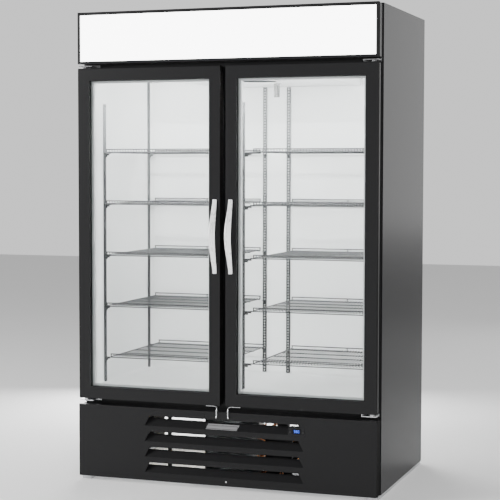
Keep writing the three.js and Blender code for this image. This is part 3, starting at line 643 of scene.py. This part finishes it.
def doors():
    for side, sign in SIDES:
        frame_node = f"{side}_door_frame"
        frame = softened(frame_node, 1.2 * MM, black_paint(), f"{side}_door", segments=3)
        cap_ends(frame, frame_node)
        softened(f"{side}_door_gasket", 2.5 * MM, rubber(), f"{side}_door", segments=3)
        glass_unit(side)
        glazing_bead(side)
        bow_handle(side)
        closing_rod(side, sign)
        for level in ("top", "bottom"):
            hinge(side, sign, level)


# ---------------------------------------------------------------- pilasters and shelves
SLOT_PITCH = 12.7 * MM
STRIP_WIDTH = 18 * MM
STRIP_DEPTH = 6 * MM
STRIP_SHEET = 1.3 * MM
CROSS_RODS = (0.27, 0.5, 0.73, 0.975)           # places from a shelf's front to its rear


def slotted_strip(node, wall, normal, top_levels):
    """A channel with a row of slots in its face, and a sheet clip under every shelf."""
    low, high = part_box(node)
    normal = Vector(normal)
    along = Vector((0, 0, 1)).cross(normal)

    def at(u, n, z):
        return wall + along * u + normal * n + Vector((0, 0, z))

    def plate(bm, u0, u1, n0, n1, z0, z1):
        ends = [at(u0, n0, z0), at(u1, n1, z1)]
        lowest = [min(a, b) for a, b in zip(*ends)]
        highest = [max(a, b) for a, b in zip(*ends)]
        add_box(bm, lowest, highest)

    half = STRIP_WIDTH / 2
    slot_half = 3.2 * MM
    face = STRIP_DEPTH - STRIP_SHEET
    bm = bmesh.new()
    plate(bm, -half, -half + STRIP_SHEET, 0, STRIP_DEPTH, low.z, high.z)
    plate(bm, half - STRIP_SHEET, half, 0, STRIP_DEPTH, low.z, high.z)
    plate(bm, -half + STRIP_SHEET, -slot_half, face, STRIP_DEPTH, low.z, high.z)
    plate(bm, slot_half, half - STRIP_SHEET, face, STRIP_DEPTH, low.z, high.z)
    count = int((high.z - low.z) / SLOT_PITCH)
    for i in range(count + 1):
        z = low.z + i * SLOT_PITCH
        plate(bm, -slot_half, slot_half, face, STRIP_DEPTH, z, min(z + 5.2 * MM, high.z))
    for top in top_levels:
        reach = 33 * MM if "mullion" not in node else abs(high.x - low.x) - 1 * MM
        plate(bm, -5 * MM, 5 * MM, STRIP_DEPTH, reach, top - 2 * MM, top)
        plate(bm, -1 * MM, 1 * MM, STRIP_DEPTH, reach * 0.75, top - 9 * MM, top - 2 * MM)
        plate(bm, -1 * MM, 1 * MM, STRIP_DEPTH, reach * 0.45, top - 16 * MM, top - 9 * MM)
        plate(bm, -5 * MM, 5 * MM, STRIP_DEPTH, STRIP_DEPTH + 1.4 * MM, top - 20 * MM, top - 2 * MM)
    return publish(f"{node}_slotted", bm, zinc(), BODY, (node,))


def pilasters():
    clearance = 0.4 * MM
    for side, sign in SIDES:
        tops = [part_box(f"{side}_shelf_{level}")[0].z - clearance for level in range(1, 6)]
        for where in ("front", "rear"):
            low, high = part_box(f"{side}_{where}_pilaster")
            wall = Vector((high.x if sign > 0 else low.x, (low.y + high.y) / 2, 0))
            slotted_strip(f"{side}_{where}_pilaster", wall, (-sign, 0, 0), tops)
        low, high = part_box(f"{side}_mullion_pilaster")
        wall = Vector((low.x if sign > 0 else high.x, (low.y + high.y) / 2, 0))
        slotted_strip(f"{side}_mullion_pilaster", wall, (sign, 0, 0), tops)
        low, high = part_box(f"{side}_back_pilaster")
        inner = low.x + STRIP_WIDTH / 2 if sign > 0 else high.x - STRIP_WIDTH / 2
        slotted_strip(f"{side}_back_pilaster", Vector((inner, high.y, 0)), (0, -1, 0), tops)


def wire_shelf(node):
    """Thin wires front to back on cross rods, turned up into a fence at the front."""
    low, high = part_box(node)
    rod = 2.3 * MM
    wire = 1.35 * MM
    inset = 14 * MM
    deck = low.z + 2 * rod + wire
    fence = high.z - rod
    x0, x1 = low.x + inset, high.x - inset
    bm = bmesh.new()
    front, rear = low.y + rod, high.y - rod
    add_bar(bm, [(low.x, front, low.z + rod), (high.x, front, low.z + rod)], rod, 8)
    add_bar(bm, [(x0, front, fence), (x1, front, fence)], rod, 8)
    add_bar(bm, [(x0, rear, fence), (x1, rear, fence)], rod, 8)
    depth = rear - front
    for share in CROSS_RODS:
        y = front + depth * share
        add_bar(bm, [(x0, y, low.z + rod), (x1, y, low.z + rod)], rod, 8)
    for x in (x0 + rod, x1 - rod):
        add_bar(bm, bent([(x, front + 2 * rod, low.z + 2 * rod), (x, rear - 3 * rod, low.z + 2 * rod),
                          (x, rear - rod, low.z + rod)], 6 * MM, 3), rod, 8)
        for post_y in (front, rear):
            add_bar(bm, [(x, post_y, low.z + rod), (x, post_y, fence)], rod, 8)
    add_bar(bm, [((x0 + x1) / 2, rear, low.z + rod), ((x0 + x1) / 2, rear, fence)], rod, 8)
    gaps = round((x1 - x0) / (12.9 * MM))
    for i in range(1, gaps):
        x = x0 + (x1 - x0) * i / gaps
        route = [(x, rear - 0.5 * MM, deck), (x, front + rod + wire + 4 * MM, deck),
                 (x, front + rod + wire * 0.5, fence - 1 * MM)]
        add_bar(bm, bent(route, 4 * MM, 3), wire, 6)
    publish(f"{node}_wires", bm, wire_coat(), BODY, (node,), sharp=60)


def shelves():
    for side, _ in SIDES:
        for level in range(1, 6):
            wire_shelf(f"{side}_shelf_{level}")


# ---------------------------------------------------------------- base
def base():
    cap_ends(softened("front_grille", 0.8 * MM, black_paint()), "front_grille")
    softened("badge_plate", 0.3 * MM, badge_metal())
    badge_border()
    low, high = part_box("front_grille")
    grille_post(low, high)
    screws("grille_screws", [(0.016, low.y + 0.1 * MM, low.z + 18 * MM)], (0, -1, 0))


def grille_post(low, high):
    """An upright angle behind the left end of the louvres."""
    left, right = -0.262, -0.243
    sheet, flange = 1.5 * MM, 14 * MM
    face = low.y + 38 * MM
    back = face + sheet
    bottom, top = low.z + 16 * MM, high.z - 16 * MM
    web = (Vector((left, face, bottom)), Vector((right, back, top)))
    leg = (Vector((left, back, bottom)), Vector((left + sheet, back + flange, top)))
    publish("grille_post", boxes([web, leg]), black_paint())


def badge_border():
    """A dark line round a blank plate."""
    low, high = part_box("badge_plate")
    inset = 3 * MM
    corner_low = low + Vector((inset, 0, inset))
    corner_high = high - Vector((inset, 0, inset))
    frame_ring(corner_low, corner_high, 1.6 * MM, low.y - 0.3 * MM, low.y + 0.2 * MM, 0.1 * MM, rubber(),
               "badge_border", BODY)


# A digit is up to seven bars: level ones by height, upright ones by side and height.
LEVEL_BARS = {"low": -1, "middle": 0, "high": 1}
UPRIGHT_BARS = {
    "lower_left": (-1, -1), "upper_left": (-1, 1),
    "lower_right": (1, -1), "upper_right": (1, 1),
}
DIGITS = {
    3: ("low", "middle", "high", "lower_right", "upper_right"),
    8: ("low", "middle", "high", "lower_left", "upper_left", "lower_right", "upper_right"),
    0: ("low", "high", "lower_left", "upper_left", "lower_right", "upper_right"),
}


def seven_segment(bm, digit, middle, front):
    half_wide, half_tall, stroke = 2.6 * MM, 4.8 * MM, 1.3 * MM
    for bar in DIGITS[digit]:
        if bar in LEVEL_BARS:
            z = middle.z + LEVEL_BARS[bar] * half_tall
            low = (middle.x - half_wide + stroke / 2, front - 0.3 * MM, z - stroke / 2)
            high = (middle.x + half_wide - stroke / 2, front, z + stroke / 2)
        else:
            across, up = UPRIGHT_BARS[bar]
            x = middle.x + across * half_wide
            z = middle.z + up * half_tall / 2
            low = (x - stroke / 2, front - 0.3 * MM, z - half_tall / 2 + stroke * 0.6)
            high = (x + stroke / 2, front, z + half_tall / 2 - stroke * 0.6)
        add_box(bm, low, high)


def controller():
    node = "temperature_controller"
    low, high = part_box(node)
    softened(node, 1.2 * MM, black_plastic())
    face = low.y
    centre = Vector(((low.x + high.x) / 2, face, (low.z + high.z) / 2))
    window = boxes([((centre.x - 21 * MM, face - 0.4 * MM, centre.z - 11 * MM),
                     (centre.x + 21 * MM, face + 0.2 * MM, centre.z + 11 * MM))], 0.2 * MM)
    dark = surface("display_window", (0.003, 0.003, 0.005), 0.12, 0, grain=300, bump=0, specular=0.15)
    publish("controller_window", window, dark)
    bm = bmesh.new()
    for step, digit in ((-1, 3), (0, 8), (1, 0)):
        seven_segment(bm, digit, centre + Vector((step * 8.6 * MM, 0, 0)), face - 0.4 * MM)
    publish("controller_digits", bm, lit("display_blue", (0.05, 0.16, 1.0), 1.6))
    for number in (1, 2):
        button = NODES[f"controller_button_{number}"]
        button.data.materials.clear()
        button.data.materials.append(rubber())


# ---------------------------------------------------------------- refrigeration
def fin_pack(name, low, high, pitch):
    """A row of thin upright fins, side by side along X."""
    half_thick = 0.15 * MM
    count = int((high.x - low.x) / pitch)
    bm = bmesh.new()
    for i in range(count + 1):
        x = low.x + (high.x - low.x) * i / count
        add_box(bm, (x - half_thick, low.y, low.z), (x + half_thick, high.y, high.z))
    return publish(name, bm, fins())


def tube_bank(name, low, high, rows, radius=4.5 * MM):
    bm = bmesh.new()
    margin = 10 * MM
    y = (low.y + high.y) / 2
    inset = 0.6 * radius
    points = []
    for i in range(rows):
        z = low.z + margin + (high.z - low.z - 2 * margin) * i / (rows - 1)
        ends = [low.x + inset, high.x - inset]
        if i % 2:
            ends.reverse()
        points += [(ends[0], y, z), (ends[1], y, z)]
    add_bar(bm, bent(points, 12 * MM, 5), radius, 10)
    return publish(name, bm, copper(), sharp=60)


def return_bends(low, high):
    """The U-shaped ends of the coil's tubes, standing out at its right-hand side."""
    rows = 11
    reach, radius = 26 * MM, 4.2 * MM
    pitch = (high.z - low.z - 20 * MM) / (rows - 1)
    bm = bmesh.new()
    for column, y in enumerate((low.y + 12 * MM, high.y - 12 * MM)):
        for i in range(column, rows - 1, 2):
            z = low.z + 10 * MM + i * pitch
            bend = [(high.x - 4 * MM, y, z), (high.x + reach, y, z),
                    (high.x + reach, y, z + pitch), (high.x - 4 * MM, y, z + pitch)]
            add_bar(bm, bent(bend, 13 * MM, 6), radius, 12)
    publish("condenser_bends", bm, copper(), sharp=60)


def condenser():
    node = "condenser_coil"
    low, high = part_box(node)
    pack_back = low.y + 46 * MM
    inner_low = Vector((low.x + 8 * MM, low.y + 2 * MM, low.z + 14 * MM))
    inner_high = Vector((high.x - 8 * MM, pack_back, high.z - 6 * MM))
    fin_pack("condenser_fins", inner_low, inner_high, 3.2 * MM)
    return_bends(inner_low, inner_high)
    fan_shroud(node, low, high, pack_back + 0.5 * MM)
    side_baffle(high, pack_back + 16.5 * MM)


def fan_shroud(node, low, high, front):
    """A plate with a short round duct for the fan, and a sheet on each side of the coil."""
    fan_low, fan_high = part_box("condenser_fan")
    hub = (fan_low + fan_high) / 2
    radius = 111 * MM
    bm = bmesh.new()
    sides = 48
    back = high.y
    hole_front = [bm.verts.new((hub.x + radius * math.cos(2 * math.pi * k / sides), front + 16 * MM,
                                hub.z + radius * math.sin(2 * math.pi * k / sides))) for k in range(sides)]
    hole_back = [bm.verts.new((v.co.x, back, v.co.z)) for v in hole_front]
    square = []
    for k in range(sides):
        turn = 2 * math.pi * k / sides
        dx, dz = math.cos(turn), math.sin(turn)
        reach_x = (high.x - hub.x if dx > 0 else hub.x - low.x) / max(abs(dx), 1e-6)
        reach_z = (high.z - hub.z if dz > 0 else hub.z - low.z) / max(abs(dz), 1e-6)
        reach = min(reach_x, reach_z)
        square.append(bm.verts.new((hub.x + dx * reach, front + 16 * MM, hub.z + dz * reach)))
    for k in range(sides):
        n = (k + 1) % sides
        bm.faces.new((square[k], square[n], hole_front[n], hole_front[k]))
        bm.faces.new((hole_front[k], hole_front[n], hole_back[n], hole_back[k]))
    bmesh.ops.solidify(bm, geom=bm.faces[:], thickness=1.0 * MM)
    for x in (low.x, high.x - 1.2 * MM):
        add_box(bm, (x, low.y, low.z), (x + 1.2 * MM, front + 17 * MM, high.z))
    add_box(bm, (low.x, low.y, high.z - 1.2 * MM), (high.x, front + 17 * MM, high.z))
    add_box(bm, (low.x, low.y, low.z), (high.x, front + 17 * MM, low.z + 1.2 * MM))
    publish("condenser_shroud", bm, galvanised(), BODY, (node,))


def side_baffle(high, y):
    """An upright sheet that keeps warm air from passing round the coil's right-hand end."""
    sheet = 1.2 * MM
    left, right, top = high.x + 0.4 * MM, high.x + 123 * MM, high.z - 45 * MM
    low = Vector((left, y, high.z - 250 * MM))
    items = [(low, Vector((right, y + sheet, top)))]
    items.append((Vector((right - sheet, y + sheet, low.z)), Vector((right, y + 16 * MM, top))))
    items.append((Vector((left, y + sheet, top - sheet)), Vector((right - sheet, y + 12 * MM, top))))
    items.append((Vector((left + 58 * MM, y, top)), Vector((right - 10 * MM, y + sheet, high.z - 2 * MM))))
    publish("air_baffle", boxes(items), black_paint())


def compressor():
    softened("compressor", 0.8 * MM, enamel())
    low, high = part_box("compressor")
    plate_half_width = 96 * MM                  # the can stands mid-plate, its terminal box beyond it
    foot = Vector((low.x + plate_half_width, (low.y + high.y) / 2, low.z))
    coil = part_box("condenser_coil")[1]
    port = Vector((coil.x + 14 * MM, FRONT + 0.112, 0))
    drier_x = 0.225
    refrigerant_lines(foot, coil, port, drier_x)
    bm = bmesh.new()
    add_bar(bm, [Vector((drier_x, port.y, 0.062)), Vector((drier_x, port.y, 0.100))], 9 * MM, 16)
    publish("filter_drier", bm, copper(), sharp=40)


def refrigerant_lines(foot, coil, port, drier_x):
    """Pipes from the compressor to the coil, from there through the drier to the cabinet, and back."""
    over_can = foot.z + 0.235
    discharge_x = foot.x - 0.05
    riser_x = 0.285
    discharge = [
        Vector((discharge_x, foot.y - 0.05, foot.z + 0.175)),
        Vector((discharge_x, foot.y - 0.05, over_can)), Vector((discharge_x, port.y + 0.02, over_can)),
        Vector((port.x, port.y, over_can)), Vector((port.x, port.y, coil.z - 0.03)),
    ]
    liquid = [
        Vector((port.x, port.y, 0.045)), Vector((drier_x, port.y, 0.045)), Vector((drier_x, port.y, 0.115)),
        Vector((riser_x, port.y + 0.01, 0.125)), Vector((riser_x, port.y + 0.16, 0.125)),
        Vector((riser_x, port.y + 0.16, 0.26)),
    ]
    suction = [
        foot + Vector((0.04, -0.06, 0.165)), foot + Vector((0.04, -0.14, 0.165)),
        foot + Vector((-0.03, -0.20, 0.165)), foot + Vector((-0.03, -0.26, 0.13)),
        foot + Vector((-0.03, -0.26, 0.27)),
    ]
    bm = bmesh.new()
    for route, bend, radius in ((discharge, 22, 4.5), (liquid, 18, 3.5), (suction, 20, 5.5)):
        add_bar(bm, bent(route, bend * MM, 6), radius * MM, 12)
    publish("refrigerant_lines", bm, copper(), sharp=60)


def fan_wheel(node, axis, blades, body):
    """Swept blades on a round hub."""
    low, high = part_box(node)
    hub = (low + high) / 2
    axis = Vector(axis)
    across = axis.orthogonal().normalized()
    other = axis.cross(across)
    sizes = high - low
    radius = max(sizes) / 2 * 0.93
    half_depth = min(sizes) * 0.5
    bm = bmesh.new()
    add_disc(bm, hub - axis * half_depth, axis, radius * 0.27, 2 * half_depth, 32, 0.12)
    steps_r, steps_a = 8, 6
    for blade in range(blades):
        base = 2 * math.pi * blade / blades
        grid = []
        for i in range(steps_r + 1):
            r = radius * (0.24 + 0.76 * i / steps_r)
            span = math.radians(46 + 12 * i / steps_r)
            row = []
            for j in range(steps_a + 1):
                s = j / steps_a - 0.5
                turn = base + span * s + math.radians(10) * i / steps_r
                lift = half_depth * 0.8 * (-2 * s) * (0.9 if i else 0.7)
                spoke = across * math.cos(turn) + other * math.sin(turn)
                row.append(bm.verts.new(hub + spoke * r + axis * lift))
            grid.append(row)
        faces = []
        for i in range(steps_r):
            for j in range(steps_a):
                faces.append(bm.faces.new((grid[i][j], grid[i][j + 1], grid[i + 1][j + 1], grid[i + 1][j])))
        bmesh.ops.solidify(bm, geom=faces, thickness=1.2 * MM)
    publish(f"{node}_wheel", bm, black_plastic(), body, (node,), sharp=40)


def refrigeration():
    condenser()
    compressor()
    softened("condenser_fan_motor", 1.5 * MM, galvanised())
    softened("evaporator_fan_motor", 1.5 * MM, galvanised())
    softened("evaporator_cover", 1.2 * MM, white_liner())
    low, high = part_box("evaporator_coil")
    margin = Vector((12 * MM, 0, 0))
    fin_pack("evaporator_fins", low + margin, high - margin, 5 * MM)
    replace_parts(tube_bank("evaporator_tubes", low, high, 5), "evaporator_coil")
    softened("temperature_probe", 1.0 * MM, rubber())
    fan_wheel("evaporator_fan", (0, 0, 1), 5, "evaporator_fan_wheel")
    fan_wheel("condenser_fan", (0, 1, 0), 4, "condenser_fan_wheel")


camera()
studio()
interior_light()
shell()
rear_screws()
canopy()
doors()
pilasters()
shelves()
base()
controller()
refrigeration()

bpy.context.view_layer.update()
